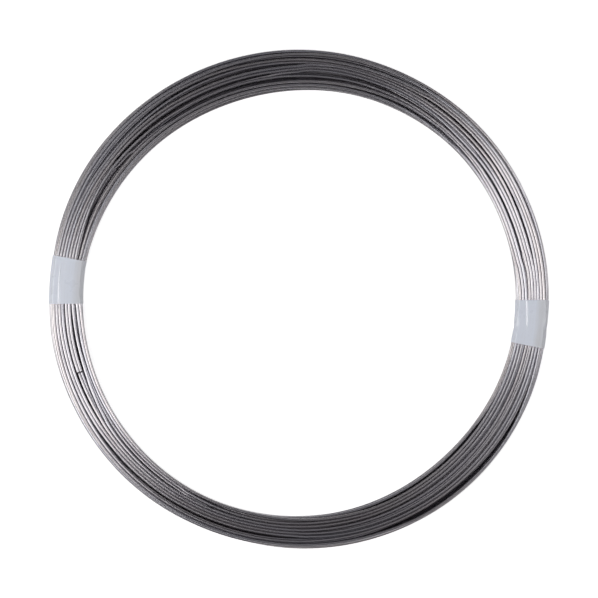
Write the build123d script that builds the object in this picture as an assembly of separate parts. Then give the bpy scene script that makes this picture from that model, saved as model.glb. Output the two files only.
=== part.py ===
from build123d import *
import math
import os

# A light coil of bright drawn steel wire, tied with two bands of white plastic tape.
# It lies flat. +Z is up, and the origin is at the centre of the coil on the floor.
# Every size is in millimetres and every angle in degrees, counted from +X towards +Y.

# The wire and its bundle, with the turns in each row from the lowest row up
wire_diameter = 1.2
coil_outer_diameter = 200.0
turns_in_rows = (9, 10, 11, 10, 9)
groove_depth = 0.45

# The last turns of the two lengths of wire lie side by side in the top row
turns_inside_tails = 3
tail_count = 2
tail_end_angle = 198.1

# The two tape bands
tape_width = 18.0
tape_film = 0.15
tape_layers = 2
tape_clearance = 0.04
tape_left_angle = 175.5
tape_right_angle = 354.2

wire_radius = wire_diameter / 2
row_rise = wire_diameter * math.sqrt(3) / 2
tape_thickness = tape_film * tape_layers
bundle_bottom = tape_thickness + tape_clearance
bundle_outside = coil_outer_diameter / 2 - tape_thickness - tape_clearance
bundle_middle = bundle_outside - max(turns_in_rows) * wire_diameter / 2


def row_of_wires(row):
    """The wire centres of one row of the bundle, from the inside of the coil to its outside."""
    count = turns_in_rows[row]
    height = bundle_bottom + wire_radius + row * row_rise
    first = bundle_middle - (count - 1) / 2 * wire_diameter
    return [Vector(first + turn * wire_diameter, height) for turn in range(count)]


def rim_of_bundle(with_tails):
    """The wires on the rim of the bundle's section, clockwise from the inner end of the top row."""
    rows = [row_of_wires(row) for row in range(len(turns_in_rows))]
    top = rows[-1]
    if not with_tails:
        turns_before_gap = top[:turns_inside_tails]
        turns_after_gap = top[turns_inside_tails + tail_count :]
        turns_below_gap = rows[-2][turns_inside_tails : turns_inside_tails + tail_count + 1]
        top = turns_before_gap + turns_below_gap + turns_after_gap
    outer_side = [row[-1] for row in reversed(rows[1:-1])]
    bottom = list(reversed(rows[0]))
    inner_side = [row[0] for row in rows[1:-1]]
    return top + outer_side + bottom + inner_side


def outward(wire, next_wire):
    """The direction out of the bundle, square to the line through two neighbours on its rim."""
    along = (next_wire - wire).normalized()
    return Vector(-along.Y, along.X)


def ridged_section(rim):
    """The bundle's section: a ridge over each wire on its rim, and a groove between two ridges."""
    points = []
    for index, wire in enumerate(rim):
        next_wire = rim[(index + 1) % len(rim)]
        out_before = outward(rim[index - 1], wire)
        out_after = outward(wire, next_wire)
        crown = wire + (out_before + out_after).normalized() * wire_radius
        groove = (wire + next_wire) / 2 + out_after * (wire_radius - groove_depth)
        points += [crown, groove]
    with BuildSketch(Plane.XZ) as section:
        with BuildLine():
            Polyline(*points, close=True)
        make_face()
    return section.sketch


def turned(section, start_angle, arc):
    """Turn a section about the coil's axis by arc, from start_angle on."""
    return Rot(0, 0, start_angle) * revolve(section, Axis.Z, arc)


def make_wire_coil():
    """The wound wire as one turned solid, with two cut tails where the top row ends."""
    tail_arc = (tail_end_angle - tape_right_angle) % 360
    with_tails = turned(ridged_section(rim_of_bundle(True)), tape_right_angle, tail_arc)
    without_tails = turned(ridged_section(rim_of_bundle(False)), tail_end_angle, 360 - tail_arc)
    return with_tails + without_tails


def wrapped_section(distance, corners):
    """The outline of a film pulled tight round the bundle, at a distance outside its wires."""
    rows = [row_of_wires(row) for row in range(len(turns_in_rows))]
    widest = rows[turns_in_rows.index(max(turns_in_rows))]
    bottom = rows[0]
    top = rows[-1]
    with BuildSketch(Plane.XZ) as section:
        with BuildLine():
            Polyline(bottom[0], bottom[-1], widest[-1], top[-1], top[0], widest[0], close=True)
        make_face()
        offset(amount=wire_radius + distance, kind=corners)
    return section.sketch


def make_tape_band(middle_angle):
    """One band of tape, wound tight round the bundle."""
    outside = wrapped_section(tape_clearance + tape_thickness, Kind.ARC)
    inside = wrapped_section(tape_clearance, Kind.INTERSECTION)
    arc = math.degrees(tape_width / bundle_middle)
    return turned(outside - inside, middle_angle - arc / 2, arc)


pieces = {
    "wire_coil": make_wire_coil(),
    "tape_band_left": make_tape_band(tape_left_angle),
    "tape_band_right": make_tape_band(tape_right_angle),
}

os.makedirs("parts", exist_ok=True)
for name, piece in pieces.items():
    export_step(piece, f"parts/{name}.step")
    print(name, "volume", round(piece.volume, 1), "mm3, box", piece.bounding_box().size)
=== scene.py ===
# %% [markdown]
# # A small coil of bright steel wire
#
# The real thing is a few dozen turns of hard drawn wire, gathered in a ring and tied
# on two sides with white plastic tape. It lies flat, and we look straight down on it.
# The measured model comes first. It fixes every size, and all that follows fits it.

# %% Load the measured model
import bpy
import math
import numpy as np
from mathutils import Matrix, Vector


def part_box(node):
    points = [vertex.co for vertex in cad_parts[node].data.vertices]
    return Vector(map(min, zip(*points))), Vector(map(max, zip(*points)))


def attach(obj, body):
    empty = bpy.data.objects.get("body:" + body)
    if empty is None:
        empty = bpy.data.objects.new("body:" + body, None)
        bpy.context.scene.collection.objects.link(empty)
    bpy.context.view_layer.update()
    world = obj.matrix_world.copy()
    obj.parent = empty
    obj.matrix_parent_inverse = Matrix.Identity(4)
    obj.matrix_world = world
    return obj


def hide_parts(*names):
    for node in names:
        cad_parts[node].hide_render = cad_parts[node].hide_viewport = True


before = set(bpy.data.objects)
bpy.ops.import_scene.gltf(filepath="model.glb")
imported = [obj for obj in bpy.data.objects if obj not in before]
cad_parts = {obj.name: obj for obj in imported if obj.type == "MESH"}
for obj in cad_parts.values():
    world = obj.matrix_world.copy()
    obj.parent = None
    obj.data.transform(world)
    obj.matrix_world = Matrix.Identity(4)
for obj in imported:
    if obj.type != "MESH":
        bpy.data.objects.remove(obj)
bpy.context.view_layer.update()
coil_low, coil_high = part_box("wire_coil")
left_low, left_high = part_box("tape_band_left")
print("measured pieces:", ", ".join(sorted(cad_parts)))
print("wire coil from", tuple(coil_low), "to", tuple(coil_high))
print("left tape from", tuple(left_low), "to", tuple(left_high))

# %% [markdown]
# ## The camera and the studio
#
# The photograph is a straight look down from far away. A long lens gives that flat look. We place the
# camera first. The upper turns are nearer to it than the floor, so they look a touch larger, by
# `LIFTED`.

# %% Sizes that all cells share
MM = 0.001
PHOTO_SIDE = 598
MM_PER_PIXEL = 0.4
PHOTO_CENTRE = (299.15, 299.26)
CAMERA_HEIGHT = 2.0
SENSOR = 36.0
UPPER_TURNS_HEIGHT = 0.0034
LIFTED = 1 - UPPER_TURNS_HEIGHT / CAMERA_HEIGHT


def in_photo(pixel_x, pixel_y):
    """Where a pixel of the photograph lies on the floor, in metres."""
    x = (pixel_x - PHOTO_CENTRE[0]) * MM_PER_PIXEL * MM
    y = (PHOTO_CENTRE[1] - pixel_y) * MM_PER_PIXEL * MM
    return x, y


# %% Place the camera
frame_side = PHOTO_SIDE * MM_PER_PIXEL * MM
camera_data = bpy.data.cameras.new("camera")
camera_data.sensor_width = SENSOR
camera_data.lens = SENSOR * CAMERA_HEIGHT / frame_side
camera = bpy.data.objects.new("camera", camera_data)
bpy.context.scene.collection.objects.link(camera)
camera.location = (*in_photo(PHOTO_SIDE / 2, PHOTO_SIDE / 2), CAMERA_HEIGHT)
bpy.context.scene.camera = camera
print("camera", round(camera_data.lens), "mm lens, frame", round(frame_side, 4), "m")

# %% [markdown]
# ## A small language for shader maths
#
# A material is a graph of nodes. Writing it as Python expressions keeps it readable,
# so one small class wraps a socket and turns `a * b` into a Math node.


# %% Wrap a socket so that it can be used in expressions
class Value:
    """A node's output socket, usable in sums."""

    def __init__(self, tree, socket):
        self.tree = tree
        self.socket = socket

    def node(self, kind, settings=None, output=0, **sockets):
        """Add any node: its settings first, then the values or links of its sockets.

        A socket goes by its name, or by the letter i and its number.
        """
        made = self.tree.nodes.new(kind)
        for name, setting in (settings or {}).items():
            setattr(made, name, setting)
        for name, given in sockets.items():
            key = int(name[1:]) if name[0] == "i" and name[1:].isdigit() else name.replace("_", " ")
            target = made.inputs[key]
            if isinstance(given, Value):
                self.tree.links.new(given.socket, target)
            else:
                target.default_value = given
        return Value(self.tree, made.outputs[output])

    def maths(self, operation, first, second=0.0):
        return self.node("ShaderNodeMath", {"operation": operation}, i0=first, i1=second)

    def __add__(self, other):
        return self.maths("ADD", self, other)

    def __radd__(self, other):
        return self.maths("ADD", other, self)

    def __sub__(self, other):
        return self.maths("SUBTRACT", self, other)

    def __rsub__(self, other):
        return self.maths("SUBTRACT", other, self)

    def __mul__(self, other):
        return self.maths("MULTIPLY", self, other)

    def __rmul__(self, other):
        return self.maths("MULTIPLY", other, self)

    def ramp(self, low, high, to_low=0.0, to_high=1.0):
        """Map a range of this value to another, smoothly and with its ends held."""
        settings = {"interpolation_type": "SMOOTHSTEP"}
        return self.node("ShaderNodeMapRange", settings, i0=self, i1=low, i2=high, i3=to_low, i4=to_high)

    def between(self, first, second):
        """Blend two colours by this value."""
        return self.node("ShaderNodeMix", {"data_type": "RGBA"}, output=2, i0=self, i6=first, i7=second)


def new_material(name, **constants):
    """A material with a plain shader, its constants set on the shader's own sockets."""
    made = bpy.data.materials.new(name)
    made.use_nodes = True
    tree = made.node_tree
    shader = tree.nodes["Principled BSDF"]
    for socket, constant in constants.items():
        shader.inputs[socket.replace("_", " ")].default_value = constant
    return made, tree, shader, Value(tree, None)


# %% [markdown]
# ## The turns of wire
#
# On the real coil nothing lines up perfectly. The two tapes squeeze the turns into a
# tight bundle, and between them the turns spread, cross and leave dark gaps. Drawing
# each turn by hand would take days, and a plain helix looks like a spring. So we let
# the turns settle: each starts in its own place in the bundle, and then pushes its
# neighbours away, sinks, and stays smooth along its length.

# %% The wire and its places in the bundle
WIRE = 1.2
TURNS_IN_ROWS = (9, 10, 11, 10, 9)
TURNS_OF_FIRST_LENGTH = (5, 5, 6, 5, 4)
ROW_RISE = WIRE * math.sqrt(3) / 2
FILM_UNDER = coil_low[2] / MM
BUNDLE_MIDDLE = coil_high[0] / MM - max(TURNS_IN_ROWS) * WIRE / 2
BUNDLE_TOP = coil_high[2] / MM
BUNDLE_CENTRE_HEIGHT = FILM_UNDER + WIRE / 2 + ROW_RISE * (len(TURNS_IN_ROWS) - 1) / 2

TAPE_LEFT = 175.5
TAPE_RIGHT = 354.2
TAIL_END = 198.1
TAPE_HALF = 5.55

STATIONS = 300
STEP = 360 / STATIONS
angles = (TAPE_RIGHT + np.arange(STATIONS) * STEP) % 360


def place_in_bundle(row, turn):
    """Radius and height of one place in the tied bundle, in millimetres."""
    first = BUNDLE_MIDDLE - (TURNS_IN_ROWS[row] - 1) / 2 * WIRE
    return first + turn * WIRE, FILM_UNDER + WIRE / 2 + row * ROW_RISE


def winding_order():
    """The places in the order in which each of the two lengths of wire fills them."""
    first_length = []
    second_length = []
    for row, count in enumerate(TURNS_IN_ROWS):
        split = TURNS_OF_FIRST_LENGTH[row]
        inside = [place_in_bundle(row, turn) for turn in range(split)]
        outside = [place_in_bundle(row, turn) for turn in range(split, count)]
        first_length += inside if row % 2 == 0 else inside[::-1]
        second_length += outside[::-1] if row % 2 == 0 else outside
    return first_length, second_length


first_length, second_length = winding_order()
places = np.array(first_length + second_length)
TURNS = len(places)
last_of_first = len(first_length) - 1
print(TURNS, "turns, the first length has", len(first_length))

# %% [markdown]
# The photograph gives the bundle's two edges all the way round. Each is a circle with
# a few soft bulges, so a formula with a handful of bumps describes it.


# %% The inner and outer edges of the bundle
def apart(first, second):
    """The signed angle from the second direction to the first, in degrees."""
    return (first - second + 180) % 360 - 180


def bump(centre, width):
    """A smooth hump round the coil, 1 at its centre."""
    return np.exp(-((apart(angles, centre) / width) ** 2))


inner_pixels = 216.8 - 9.4 * bump(108, 42) - 3.2 * bump(312, 26) + 1.6 * bump(238, 28)
inner_pixels -= 1.0 * bump(150, 16) + 0.8 * bump(62, 14)
outer_pixels = 250.0 + 1.4 * bump(145, 22) - 2.0 * bump(253, 16) + 2.5 * bump(314, 28)
outer_pixels += 0.8 * bump(190, 10) - 0.8 * bump(65, 14) - 1.2 * bump(354, 8)
inner_edge = inner_pixels * MM_PER_PIXEL * LIFTED + WIRE / 2
outer_edge = outer_pixels * MM_PER_PIXEL * LIFTED - WIRE / 2
print("bundle is", np.round((outer_edge - inner_edge).min() + WIRE, 2), "to",
      np.round((outer_edge - inner_edge).max() + WIRE, 2), "mm wide")

# %% [markdown]
# Under the right-hand tape every turn steps over to the next place in its row. That
# is where a real winder guides the wire on, and the tape hides the step. The squeeze of
# a tie reaches a little past its tape and then fades: `tied` is 1 there and 0 between.


# %% Where each turn wants to be
def eased(share):
    """A share from 0 to 1, with a soft start and a soft end."""
    return share * share * (3 - 2 * share)


HOP = 4.5
TIE_REACH = TAPE_HALF * 1.15
TIE_FADES_AT = 1.9
TAPE_EDGE = 0.6
to_left_tie = np.abs(apart(angles, TAPE_LEFT))
from_right_tie = apart(angles, TAPE_RIGHT)
nearest_tie = np.minimum(to_left_tie, np.abs(from_right_tie))
tied = np.clip(TIE_FADES_AT - nearest_tie / TIE_REACH, 0, 1)
under_tape = nearest_tie < TAPE_HALF - TAPE_EDGE

next_turn = np.arange(TURNS) + 1
next_turn[[last_of_first, TURNS - 1]] = last_of_first, TURNS - 1
previous_turn = np.arange(TURNS) - 1
previous_turn[[0, last_of_first + 1]] = 0, last_of_first + 1

hop = eased(np.clip((from_right_tie + HOP) / (2 * HOP), 0, 1))
arriving = (from_right_tie >= 0) & (from_right_tie < HOP)
leaving = (from_right_tie < 0) & (from_right_tie > -HOP)
tied_places = np.repeat(places[:, None, :], STATIONS, axis=1)
for here in range(TURNS):
    step_out = places[next_turn[here]] - places[here]
    step_in = places[here] - places[previous_turn[here]]
    tied_places[here, leaving] += step_out * hop[leaving, None]
    tied_places[here, arriving] -= step_in * (1 - hop[arriving, None])

# %% [markdown]
# Between the ties each turn wanders a little, as three slow waves round the coil. Only
# the innermost and the outermost turn keep to the edges from the photograph.

# %% Spread the turns between the ties
WANDER = 0.35
PULL = 0.01
PULL_AT_EDGES = 0.12
rng = np.random.default_rng(3)
share = (places[:, 0] - BUNDLE_MIDDLE) / ((max(TURNS_IN_ROWS) - 1) * WIRE) + 0.5
free_radius = inner_edge + (outer_edge - inner_edge) * share[:, None]
for here in range(TURNS):
    for waves in (1, 2, 3):
        swing = rng.normal() * WANDER / waves
        phase = rng.uniform(0, 2 * math.pi)
        free_radius[here] += swing * np.sin(np.radians(waves * from_right_tie) + phase)
innermost = places[:, 0].argmin()
outermost = places[:, 0].argmax()
free_radius[innermost] = inner_edge
free_radius[outermost] = outer_edge
pull = np.full((TURNS, 1), PULL, np.float32)
pull[[innermost, outermost]] = PULL_AT_EDGES
wanted_radius = free_radius * (1 - tied) + tied_places[:, :, 0] * tied
present = np.ones((TURNS, STATIONS), bool)
tail_station = round(((TAIL_END - TAPE_RIGHT) % 360) / STEP)
present[[last_of_first, TURNS - 1]] = np.arange(STATIONS) <= tail_station

# %% [markdown]
# Dark lines run along the bundle where two turns stand apart and one looks down between them. They are
# followed in the photograph, as a few points each, and the upper turns keep clear of them. A gap has its
# width in millimetres, or one for each end, and then its points: an angle, and a distance from the
# centre in pixels.
# The widest gap, at the lower right, also has how deep it goes.

# %% The dark gaps between the upper turns
GAP_DEPTH = 2.5
GAP_FADE = 8
LEAD = 20
GAPS = (
    (0.55, ((-2, 245.8), (6, 245.4))),
    (0.35, ((-1, 229.3), (9, 229.6))),
    (0.60, ((11, 235.2), (25, 236.2), (35, 237.0), (60, 237.2), (69, 236.0))),
    (0.40, ((19, 232.0), (35, 233.4), (51, 233.0))),
    (0.50, ((9, 225.2), (20, 224.9), (45, 225.3), (60, 226.2), (75, 227.4), (90, 228.7))),
    (0.50, ((17, 245.4), (30, 246.7), (50, 246.7), (59, 246.0))),
    (0.35, ((34, 221.6), (52, 221.4))),
    (0.45, ((44, 218.3), (60, 219.9), (70, 218.5), (86, 216.6))),
    (0.70, ((71, 222.9), (80, 221.6), (90, 220.8), (120, 220.6), (129, 220.6))),
    (0.35, ((57, 241.2), (75, 241.2), (90, 241.5), (106, 241.2))),
    (0.35, ((87, 233.8), (105, 233.0), (123, 233.6))),
    (0.40, ((96, 225.8), (112, 225.9), (122, 226.4), (135, 228.2), (143, 228.2))),
    (0.35, ((97, 245.8), (123, 245.9))),
    (0.45, ((118, 239.9), (135, 238.8), (147, 238.6))),
    (0.40, ((129, 223.8), (146, 222.7))),
    (
        (1.00, 0.40),
        (
            (138, 225.4), (152, 226.1), (160, 225.0), (170, 223.9),
            (181, 222.9), (200, 221.8), (239, 220.2),
        ),
    ),
    (0.90, ((181, 227.4), (190, 227.9), (202, 226.9))),
    (0.55, ((172, 235.3), (198, 234.4), (212, 232.9))),
    (0.80, ((210, 240.4), (225, 239.5), (240, 238.6), (255, 238.1), (270, 237.6))),
    (0.35, ((211, 230.2), (241, 230.0))),
    (0.35, ((211, 226.9), (241, 226.9))),
    ((1.55, 0.90), ((290, 245.2), (300, 245.9), (310, 246.5), (320, 247.1), (333, 247.2)), 3.3),
    (0.50, ((286, 220.6), (300, 218.9), (326, 217.3))),
)


def unwound_from(start):
    """The angle of every station, counted on from just before a start."""
    return start - LEAD + (angles - start + LEAD) % 360


def within(unwound, start, end, fade_in, fade_out):
    """1 from a start to an end and 0 outside them, with a fade inside each."""
    return np.clip((unwound - start) / fade_in, 0, 1) * np.clip((end - unwound) / fade_out, 0, 1)


def follow_gap(width, points, depth=GAP_DEPTH):
    """One gap: at every station its radius and half its width, then its turns' sides and its depth."""
    bearings, pixels = np.array(points, float).T
    unwound = unwound_from(bearings[0])
    fade = within(unwound, bearings[0], bearings[-1], GAP_FADE, GAP_FADE)
    radius = np.interp(unwound, bearings, pixels) * MM_PER_PIXEL * LIFTED
    start_width, end_width = np.broadcast_to(width, 2)
    half = np.interp(unwound, bearings[[0, -1]], [start_width, end_width]) / 2 * fade
    side = np.sign(((wanted_radius - radius) * half).sum(1))
    return radius, half, side[:, None], depth


# %% [markdown]
# Past the left-hand tape the photograph shows each turn of the top row clearly, with
# the two cut ends among them. So the inner turns of that row get lanes: where a lane
# starts and ends, and its distance from the centre in pixels.

# %% Lanes for the inner turns of the top row
LANE_FADE_IN = 6
LANE_FADE_OUT = 16
LANES = (
    (174, 244, 218.8),
    (174, 236, 220.5),
    (174, 226, 225.3),
    (174, 216, 230.2),
    (174, 216, 233.3),
    (174, 226, 237.0),
)
top_row = [here for here in range(TURNS) if places[here, 1] == places[:, 1].max()]
top_row.sort(key=lambda here: places[here, 0])
for here, (start, end, pixels) in zip(top_row, LANES):
    kept = eased(within(unwound_from(start), start, end, LANE_FADE_IN, LANE_FADE_OUT))
    wanted_radius[here] += kept * (pixels * MM_PER_PIXEL * LIFTED - wanted_radius[here])

gap_lines = [follow_gap(*gap) for gap in GAPS]
print(len(LANES), "lanes and", len(gap_lines), "gaps")

# %% [markdown]
# Now the turns settle, in many small rounds. In each round every turn sinks a little,
# is drawn to its own radius and to its tie, straightens against its neighbours along
# the wire, and leaves the gaps. Then turns that overlap push each other apart. The
# sinking stops after four fifths of the rounds, so that the last ones only tidy up.
# Lengths are in millimetres and angles in degrees. The other strengths say what share
# of a difference one round makes up.

# %% Let the turns settle
ROUNDS = 400
CALM_AFTER = 0.8
SINK = 0.03
HOLD_UNDER_TAPE = 0.35
HOLD_BESIDE_TAPE = 0.08
STIFF_NEARBY = 0.5
STIFF_FURTHER = 0.4
LEAST_STIFFNESS = 0.35
LEAVE_GAP = 0.3
GAP_BOTTOM_FADE = 0.6
LEAST_GAP = 0.02
PUSH_APART = 0.4
LIFT_REACH = 14
LIFT_FADES_AT = 1.6
SAME_TURN = 0.01
NEIGHBOUR = 1.3


def between_neighbours(spots, reach):
    """The middle between the spots that lie a reach before and after each spot on its wire."""
    middle = spots.copy()
    for first, last in ((0, last_of_first), (last_of_first + 1, TURNS - 1)):
        line = spots[first : last + 1].reshape(-1, 2)[: (last - first) * STATIONS + tail_station + 1]
        count = len(line)
        padded = np.concatenate([np.repeat(line[:1], reach, 0), line, np.repeat(line[-1:], reach, 0)])
        middle[first : last + 1].reshape(-1, 2)[:count] = 0.5 * (padded[:count] + padded[2 * reach :])
    return middle


def settle(rounds):
    """Push, sink and smooth the turns until they lie side by side, with hardly any overlap."""
    spots = np.stack([wanted_radius, tied_places[:, :, 1]], -1).astype(np.float32)
    floor = WIRE / 2 + FILM_UNDER * np.clip(LIFT_FADES_AT - nearest_tie / LIFT_REACH, 0, 1)
    others = present[:, None] & present[None, :] & ~np.eye(TURNS, dtype=bool)[:, :, None]
    hold = np.where(under_tape, HOLD_UNDER_TAPE, HOLD_BESIDE_TAPE) * tied
    hold = hold[None, :, None].astype(np.float32)
    free = (1 - tied)[None, :, None].astype(np.float32)
    for turn_round in range(rounds):
        unrest = max(0.0, 1 - 1 / CALM_AFTER * turn_round / rounds)
        stiff = LEAST_STIFFNESS + (1 - LEAST_STIFFNESS) * min(1.0, 4 * unrest)
        spots[..., 1] -= SINK * (1 - tied) * unrest
        spots[..., 0] += pull * (wanted_radius - spots[..., 0])
        spots += hold * (tied_places - spots)
        spots += STIFF_NEARBY * stiff * (between_neighbours(spots, 1) - spots)
        spots += STIFF_FURTHER * stiff * free * (between_neighbours(spots, 4) - spots)
        below_top = spots[..., 1].max(0) - spots[..., 1]
        for radius, half, side, depth in gap_lines:
            upper = np.clip((depth - below_top) / GAP_BOTTOM_FADE, 0, 1) * ~under_tape
            lacking = half + WIRE / 2 - side * (spots[..., 0] - radius)
            spots[..., 0] += LEAVE_GAP * np.clip(lacking, 0, WIRE) * side * upper * (half > LEAST_GAP)
        for _ in range(2):
            across = spots[:, None, :, :] - spots[None, :, :, :]
            distance = np.sqrt((across**2).sum(-1)) + 1e-6
            push = np.where(others & (distance < WIRE), (WIRE / distance - 1) * PUSH_APART, 0)
            spots += (push[..., None].astype(np.float32) * across).sum(1)
            spots[..., 0] = np.clip(spots[..., 0], inner_edge, outer_edge)
            spots[..., 1] = np.clip(spots[..., 1], floor, BUNDLE_TOP - WIRE / 2)
    return spots


settled = settle(ROUNDS)
near = np.sqrt(((settled[:, None] - settled[None]) ** 2).sum(-1))[present[:, None] & present[None]]
near = near[(near > SAME_TURN) & (near < NEIGHBOUR)]
least, usual = np.percentile(near, [0, 5])
print("neighbours lie at least", round(least, 2), "mm apart, and 95 of 100 over", round(usual, 2), "mm")

# %% [markdown]
# Hard wire springs up where it was cut, so both cut ends rise off the row below. They
# lie just past the left-hand tape, and the rest of their turns stays down.

# %% Lift the cut ends
TAIL_LIFT = 0.5
TAIL_ARC = 17
TAIL_REGION = 60
TAIL_BEND = 1.5
from_left_tie = apart(angles, TAPE_LEFT)
past_left_tie = np.clip((from_left_tie - TAPE_HALF) / TAIL_ARC, 0, 1) * (from_left_tie < TAIL_REGION)
settled[[last_of_first, TURNS - 1], :, 1] += TAIL_LIFT * past_left_tie**TAIL_BEND
print("settled, the bundle is", round(float(settled[present][:, 1].max() + WIRE / 2), 2), "mm high")

# %% [markdown]
# A wire is a round bar bent along a path. We sweep a ring of twelve points along the
# path of each length. Side cutters leave a chisel end, two slopes that meet in an edge.

# %% Sweep a round wire along a path
SIDES = 12


def path_of(turns):
    """The points of one length of wire, from its hidden start to its cut end, in metres."""
    points = []
    for turn in turns:
        for station in range(STATIONS):
            if present[turn, station]:
                radius, height = settled[turn, station]
                angle = math.radians(angles[station])
                points.append((radius * math.cos(angle), radius * math.sin(angle), height))
    return np.array(points) * MM


def sweep_wire(name, path, radius):
    """A closed tube along the path, with each point's place on the wire stored for the finish."""
    along = np.gradient(path, axis=0)
    along /= np.linalg.norm(along, axis=1)[:, None]
    side = np.cross(along, (0, 0, 1))
    side /= np.linalg.norm(side, axis=1)[:, None]
    up = np.cross(side, along)
    around = np.arange(SIDES) / SIDES * 2 * math.pi
    ring = np.cos(around)[None, :, None] * side[:, None] + np.sin(around)[None, :, None] * up[:, None]
    points = path[:, None] + radius * ring
    wedge = radius * (1 - np.abs(np.sin(around)))[:, None]
    points[0] -= wedge * along[0]
    points[-1] += wedge * along[-1]
    points = points.reshape(-1, 3)
    count = len(path)
    first = np.arange(count - 1)[:, None] * SIDES + np.arange(SIDES)
    second = np.arange(count - 1)[:, None] * SIDES + (np.arange(SIDES) + 1) % SIDES
    faces = np.stack([first, second, second + SIDES, first + SIDES], -1).reshape(-1, 4).tolist()
    last = (count - 1) * SIDES
    for corners in (list(range(SIDES // 2 + 1)), list(range(SIDES // 2, SIDES)) + [0]):
        faces.append(corners[::-1])
        faces.append([last + corner for corner in corners])
    mesh = bpy.data.meshes.new(name)
    mesh.from_pydata(points.tolist(), [], faces)
    mesh.update()
    length = np.concatenate([[0], np.cumsum(np.linalg.norm(np.diff(path, axis=0), axis=1))])
    place = np.zeros((count * SIDES, 3))
    place[:, 0] = np.repeat(length, SIDES)
    place[:, 1] = np.tile(np.cos(around), count) * radius
    place[:, 2] = np.tile(np.sin(around), count) * radius
    grain = mesh.attributes.new("along_wire", "FLOAT_VECTOR", "POINT")
    grain.data.foreach_set("vector", place.ravel())
    mesh.shade_smooth()
    mesh.set_sharp_from_angle(angle=math.radians(40))
    made = bpy.data.objects.new(name, mesh)
    bpy.context.scene.collection.objects.link(made)
    print(name, "is", round(length[-1], 2), "m of wire,", 2 * len(mesh.polygons), "triangles")
    return made


# %% Make the two lengths of wire
wires = []
lengths = {
    "wire_first_length": range(last_of_first + 1),
    "wire_second_length": range(last_of_first + 1, TURNS),
}
for name, turns in lengths.items():
    wire = sweep_wire(name, path_of(turns), WIRE / 2 * MM)
    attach(wire, "root")
    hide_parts("wire_coil")
    wires.append(wire)

# %% [markdown]
# ## The tape
#
# Each tape is a thin strip wound two layers thick. It touches only the turns that
# stick out furthest, so its section is the tight outline round the bundle. We find
# that outline from the settled turns and wind the strip round it as a spiral.

# %% The tight outline round the bundle
FILM = 0.09
LAYERS = 2
TAPE_WIDTH = 18.0
LOOKS = np.radians(np.arange(360))
LEAST_SLANT = 0.2


def outline_at(angle):
    """Distance of the stretched film from the bundle's middle, for each direction in LOOKS."""
    position = (apart(angle, TAPE_RIGHT) % 360) / STEP
    station = int(position) % STATIONS
    following = (station + 1) % STATIONS
    blend = position - int(position) if following else 0.0
    spots = settled[:, station] * (1 - blend) + settled[:, following] * blend
    spots = spots[present[:, station]] - (BUNDLE_MIDDLE, BUNDLE_CENTRE_HEIGHT)
    facing = np.stack([np.cos(LOOKS), np.sin(LOOKS)], -1)
    reach = (spots @ facing.T).max(0) + WIRE / 2
    turned = LOOKS[:, None] - LOOKS[None, :]
    slant = np.cos(turned)
    return np.where(slant > LEAST_SLANT, reach[None, :] / np.maximum(slant, LEAST_SLANT), np.inf).min(1)


# %% [markdown]
# A strip is a grid of points: its rows follow the spiral, one for each degree, and its
# columns run across the tape. It has an under side and an upper side, so it is closed.
# On each tape the film has one sharp crease along its top, which catches the light.

# %% Wind a strip of film round the bundle
ACROSS = np.linspace(-1, 1, 25)
HALF_TAPE_ANGLE = math.degrees(TAPE_WIDTH / 2 / BUNDLE_MIDDLE)
SKEW = 0.0016
SKEW_WAVES = 2.4
SLACK = 0.01
FILM_BODY = FILM * 0.96
CREASE_HALF = 0.34
CREASE_HEIGHT = 0.14
# How the third layer's mark fades in and out; the slow fade at the strip's end makes the film's painted
# shade a gradient.
LIT_COVER_FADE_IN = 8
LIT_COVER_FADE_OUT = 26


def outlines_across(middle):
    """The tight outline at each column of the tape, evened out from column to column."""
    outlines = np.array([outline_at(middle + HALF_TAPE_ANGLE * share) for share in ACROSS])
    for _ in range(2):
        padded = np.vstack([outlines[:1], outlines, outlines[-1:]])
        outlines = 0.25 * padded[:-2] + 0.5 * padded[1:-1] + 0.25 * padded[2:]
    return outlines


def strip_points(middle, looks, layer, crease):
    """The strip's under and upper side in millimetres, and how far each point is on the crease."""
    outlines = outlines_across(middle)
    first_radius, last_radius = crease["radii"]
    rise_start, rise_end = crease["rise"]
    crease_radius = first_radius + (last_radius - first_radius) * (ACROSS[None, :] + 1) / 2
    span = np.clip((ACROSS - rise_start) / (rise_end - rise_start), 0, 1)
    askew = SKEW * np.sin(layer * SKEW_WAVES)
    angle = np.radians(middle + HALF_TAPE_ANGLE * ACROSS)[None, :] + askew[:, None]
    turned = np.radians(looks)[:, None]
    sides = []
    for lift in (0.0, FILM_BODY):
        distance = outlines.T[looks % 360] + SLACK + layer[:, None] * FILM + lift
        radius = BUNDLE_MIDDLE + distance * np.cos(turned)
        height = BUNDLE_CENTRE_HEIGHT + distance * np.sin(turned)
        ridge = np.clip(1 - np.abs(radius - crease_radius) / CREASE_HALF, 0, 1) * (np.sin(turned) > 0)
        height += CREASE_HEIGHT * ridge * span[None, :]
        sides.append(np.stack([radius * np.cos(angle), radius * np.sin(angle), height], -1))
    return np.array(sides), ridge * span[None, :]


def strip_faces(rows, columns, way):
    """The faces of a strip: its two sides, its two long edges and its two ends."""
    numbers = np.arange(2 * rows * columns).reshape(2, rows, columns)
    faces = []
    for grid, flip in ((numbers[0], way > 0), (numbers[1], way < 0)):
        corners = [grid[:-1, :-1], grid[:-1, 1:], grid[1:, 1:], grid[1:, :-1]]
        corners = corners[::-1] if flip else corners
        faces += np.stack(corners, -1).reshape(-1, 4).tolist()
    rims = (
        (numbers[:, :, 0], way < 0),
        (numbers[:, :, -1], way > 0),
        (numbers[:, 0], way > 0),
        (numbers[:, -1], way < 0),
    )
    for line, flip in rims:
        corners = [line[0, :-1], line[1, :-1], line[1, 1:], line[0, 1:]]
        corners = corners[::-1] if flip else corners
        faces += np.stack(corners, -1).tolist()
    return faces


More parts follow.
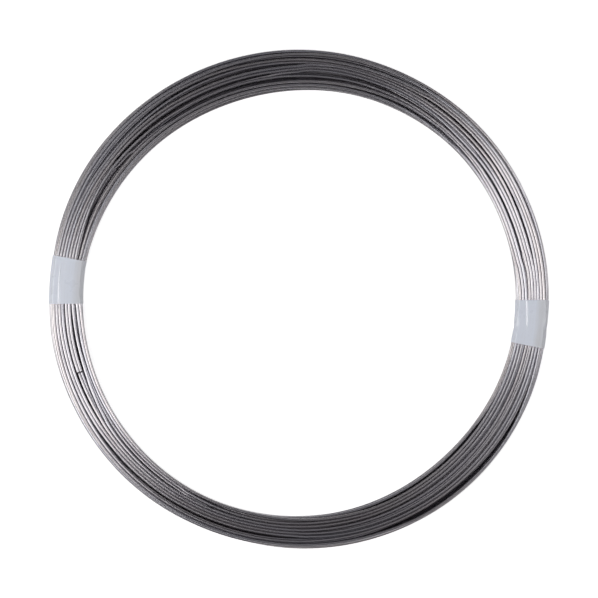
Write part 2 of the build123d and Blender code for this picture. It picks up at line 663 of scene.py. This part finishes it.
def make_tape(name, middle, start_look, overlap, way, crease):
    """A strip wound from start_look, a direction in the section, for two layers and an overlap."""
    looks = start_look + way * np.arange(360 * LAYERS + overlap + 1)
    layer = np.abs(looks - start_look) / 360
    points, on_crease = strip_points(middle, looks, layer, crease)
    rows, columns = len(looks), len(ACROSS)
    mesh = bpy.data.meshes.new(name)
    mesh.from_pydata((points * MM).reshape(-1, 3).tolist(), [], strip_faces(rows, columns, way))
    mesh.update()
    # The third layer lies on the side that the brighter left lamp lights; where the film is two layers
    # thick the finish paints it grey, partly as painted shade.
    wound = (way * (looks - start_look)) % 360
    lit_cover_ends = [0, LIT_COVER_FADE_IN, overlap - LIT_COVER_FADE_OUT, overlap, 360]
    lit_cover = np.interp(wound, lit_cover_ends, [0, 1, 1, 0, 0])
    lit_cover_attribute = mesh.attributes.new("third_layer_lit_side", "FLOAT", "POINT")
    lit_cover_attribute.data.foreach_set("value", np.tile(np.repeat(lit_cover, columns), 2))
    fold = mesh.attributes.new("crease", "FLOAT", "POINT")
    fold.data.foreach_set("value", np.tile(on_crease.ravel(), 2))
    mesh.shade_smooth()
    mesh.set_sharp_from_angle(angle=math.radians(50))
    made = bpy.data.objects.new(name, mesh)
    bpy.context.scene.collection.objects.link(made)
    print(name, len(mesh.polygons) * 2, "triangles, up to", round(points[..., 2].max(), 2), "mm high")
    return made


# %% Make both tapes
LEFT_CREASE = {"radii": (96.05, 95.85), "rise": (-0.7, 0.6)}
RIGHT_CREASE = {"radii": (92.2, 90.7), "rise": (-0.4, 0.2)}
left_tape = make_tape(
    "tape_left", TAPE_LEFT, start_look=-30, overlap=181, way=1, crease=LEFT_CREASE
)
right_tape = make_tape(
    "tape_right", TAPE_RIGHT, start_look=210, overlap=172, way=-1, crease=RIGHT_CREASE
)
tapes = {"tape_band_left": left_tape, "tape_band_right": right_tape}
for node, tape in tapes.items():
    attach(tape, "root")
    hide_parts(node)

# %% [markdown]
# ## The finish of the wire
#
# Drawn wire is bright, but not a mirror. The die leaves fine lines along it, and a
# thin film of drawing soap dulls it in patches. Both run along the wire, so the
# patterns use the length that we stored with each point.

# %% Bright drawn steel
LINES_PER_METRE = (40, 2600, 2600)
steel, tree, shader, paint = new_material("bright_drawn_steel", Metallic=1.0)
along = paint.node("ShaderNodeAttribute", {"attribute_name": "along_wire"}, output=1)
stretched = paint.node("ShaderNodeVectorMath", {"operation": "MULTIPLY"}, i0=along, i1=LINES_PER_METRE)
lines = paint.node("ShaderNodeTexNoise", Vector=stretched, Scale=1.0, Detail=3.0)
patches = paint.node("ShaderNodeTexNoise", Vector=along, Scale=55.0, Detail=2.0)
dulled = patches.ramp(0.45, 0.75)
tint = paint.node("ShaderNodeTexNoise", Vector=along, Scale=9.0, Detail=1.0).ramp(0.35, 0.65)
bright = tint.between((0.57, 0.565, 0.61, 1), (0.59, 0.565, 0.58, 1))
soapy = tint.between((0.405, 0.40, 0.445, 1), (0.43, 0.40, 0.42, 1))
colour = (dulled * 0.6 + lines.ramp(0.35, 0.75) * 0.4).between(bright, soapy)
roughness = 0.17 + dulled * 0.08 + lines * 0.08
bumped = paint.node("ShaderNodeBump", Height=lines, Strength=0.25, Distance=0.00002)
tree.links.new(colour.socket, shader.inputs["Base Color"])
tree.links.new(roughness.socket, shader.inputs["Roughness"])
tree.links.new(bumped.socket, shader.inputs["Normal"])
for wire in wires:
    wire.data.materials.append(steel)
print("steel has", len(tree.nodes), "nodes")

# %% [markdown]
# ## The finish of the tape
#
# The film is white and glossy. Where it lies only two layers thick it is painted grey, partly for steel
# that shows through and partly as painted shade: the third layer at the strip's end lies on the side
# that the brighter left lamp lights, and the grey falls on the side turned from it. The turns run round
# the coil, so the distance from the coil's axis places faint darker stripes over the grooves between
# them, painted shade seen through the film. Along the crease the film is pulled tight and shines most.

# %% Glossy white film
# Shares of grey on the film: on its two-layer side, partly steel seen through and partly painted shade,
# and in stripes of painted groove shade.
STEEL_AND_SHADE_ON_TWO_LAYERS = 0.8
GROOVE_SHADE_IN_STRIPES = 0.2
film, tree, shader, paint = new_material("white_film", IOR=1.5, Coat_IOR=2.0, Coat_Roughness=0.05)
position = paint.node("ShaderNodeNewGeometry")
flat = paint.node("ShaderNodeVectorMath", {"operation": "MULTIPLY"}, i0=position, i1=(1, 1, 0))
radius = paint.node("ShaderNodeVectorMath", {"operation": "LENGTH"}, output=1, i0=flat)
phase = (radius - BUNDLE_MIDDLE * MM) * (2 * math.pi / (WIRE * MM))
stripes = paint.maths("COSINE", phase) * 0.5 + 0.5
cloud = paint.node("ShaderNodeTexNoise", Vector=position, Scale=260.0, Detail=3.0)
lit_third_layer = paint.node("ShaderNodeAttribute", {"attribute_name": "third_layer_lit_side"}, output=2)
# Painted shade: the two-layer film greys on the side turned from the brighter left lamp; part of that
# grey is steel seen through the film.
two_layers_shaded = (1 - lit_third_layer) * STEEL_AND_SHADE_ON_TWO_LAYERS
# Painted shade: faint darker stripes over the grooves between the turns, seen through the film.
steel_and_painted_shade = two_layers_shaded + (1 - stripes) * cloud.ramp(0.4, 0.8) * GROOVE_SHADE_IN_STRIPES
colour = steel_and_painted_shade.between((0.84, 0.89, 1.0, 1), (0.73, 0.745, 0.785, 1))
roughness = 0.22 + cloud * 0.14
wrinkle = paint.node("ShaderNodeTexNoise", Vector=position, Scale=420.0, Detail=2.0)
bumped = paint.node("ShaderNodeBump", Height=wrinkle, Strength=0.12, Distance=0.0001)
tree.links.new(colour.socket, shader.inputs["Base Color"])
crease = paint.node("ShaderNodeAttribute", {"attribute_name": "crease"}, output=2)
polish = crease.ramp(0.0, 0.3, 0.2, 1.0)
tree.links.new(roughness.socket, shader.inputs["Roughness"])
tree.links.new(polish.socket, shader.inputs["Coat Weight"])
tree.links.new(bumped.socket, shader.inputs["Normal"])
for tape in tapes.values():
    tape.data.materials.append(film)
print("film has", len(tree.nodes), "nodes")

# %% [markdown]
# ## Light and floor
#
# The turns on the left and right shine and those at the top and bottom stay dark. A
# round wire mirrors only what lies across it, so the photographer had big soft lamps
# to the left and right and nothing bright above or below the picture. Each side gets a
# tall lamp and a wide, dimmer one, which softens the step from bright to dark. The
# left-hand pair is a little warm.


# %% Soft lamps on two sides
def soft_lamp(name, azimuth, elevation, distance, width, height, power, colour):
    """A soft rectangular lamp that faces the middle of the coil from a distance in metres."""
    data = bpy.data.lights.new(name, "AREA")
    data.shape = "RECTANGLE"
    data.size = width
    data.size_y = height
    data.energy = power
    data.color = colour
    lamp = bpy.data.objects.new(name, data)
    bpy.context.scene.collection.objects.link(lamp)
    turn = math.radians(azimuth)
    rise = math.radians(elevation)
    lamp.location = (
        distance * math.cos(rise) * math.cos(turn),
        distance * math.cos(rise) * math.sin(turn),
        distance * math.sin(rise),
    )
    lamp.rotation_euler = (math.pi / 2 - rise, 0, turn + math.pi / 2)


NEUTRAL = (1.0, 1.0, 1.0)
WARM = (1.0, 0.985, 0.955)
TALL = {"elevation": 48, "distance": 1.0, "width": 0.6, "height": 1.0}
WIDE = {"elevation": 50, "distance": 1.02, "width": 1.5, "height": 0.75}
soft_lamp("lamp_right", azimuth=13, power=2.6, colour=NEUTRAL, **TALL)
soft_lamp("lamp_left", azimuth=195, power=4.45, colour=WARM, **TALL)
soft_lamp("wide_right", azimuth=357, power=0.95, colour=NEUTRAL, **WIDE)
soft_lamp("wide_left", azimuth=177, power=1.4, colour=WARM, **WIDE)
print("two lamps on each side")

# %% [markdown]
# The room is dark but for a ring of faint bluish light, high up, and that is what the
# dark turns mirror. The camera sees a white floor. In the wire's reflections the floor
# and the far room are nearly black, because white ones would wash the dark turns out.


# %% What the pale surroundings send along a ray
def pale_share(tree, mirrored_share):
    """How much of the pale surroundings a ray meets: all from the camera, a share if mirrored."""
    rays = tree.nodes.new("ShaderNodeLightPath")
    from_camera = Value(tree, rays.outputs["Is Camera Ray"])
    passed_through = Value(tree, rays.outputs["Is Transmission Ray"])
    mirrored = Value(tree, rays.outputs["Is Glossy Ray"])
    return from_camera + passed_through + mirrored * mirrored_share


# %% The room
RING_STRENGTH = 0.295
ROOM_STRENGTH = 0.01
ROOM_MIRRORED = 0.05
BLUISH = (0.975, 0.955, 1, 1)
world = bpy.data.worlds.new("room")
bpy.context.scene.world = world
world.use_nodes = True
tree = world.node_tree
room = Value(tree, None)
direction = room.node("ShaderNodeTexCoord")
rise = room.node("ShaderNodeSeparateXYZ", output=2, i0=direction)
ring = rise.ramp(0.62, 0.8) * rise.ramp(0.9, 0.985, 1.0, 0.1) * RING_STRENGTH
strength = ring + ROOM_STRENGTH + pale_share(tree, ROOM_MIRRORED) * rise.ramp(0.1, 0.4, 0.9, 0.0)
background = tree.nodes["Background"]
tree.links.new(strength.socket, background.inputs["Strength"])
background.inputs["Color"].default_value = BLUISH
print("room has", len(tree.nodes), "nodes")

# %% The floor
FLOOR_HALF = 3.0
FLOOR_MIRRORED = 0.1
BLACK = (0, 0, 0, 1)
PAPER_WHITE = (0.68, 0.68, 0.68, 1)
floor_mesh = bpy.data.meshes.new("floor")
corners = [(-FLOOR_HALF, -FLOOR_HALF, 0), (FLOOR_HALF, -FLOOR_HALF, 0)]
corners += [(FLOOR_HALF, FLOOR_HALF, 0), (-FLOOR_HALF, FLOOR_HALF, 0)]
floor_mesh.from_pydata(corners, [], [(0, 1, 2, 3)])
floor = bpy.data.objects.new("floor", floor_mesh)
bpy.context.scene.collection.objects.link(floor)
pale, tree, shader, paint = new_material(
    "pale_floor", Base_Color=(0.9, 0.9, 0.9, 1), Roughness=0.9, Emission_Strength=1.0
)
glow = pale_share(tree, FLOOR_MIRRORED).between(BLACK, PAPER_WHITE)
tree.links.new(glow.socket, shader.inputs["Emission Color"])
floor.data.materials.append(pale)
bpy.context.scene.view_settings.view_transform = "Standard"
print("floor is", 2 * FLOOR_HALF, "m wide")
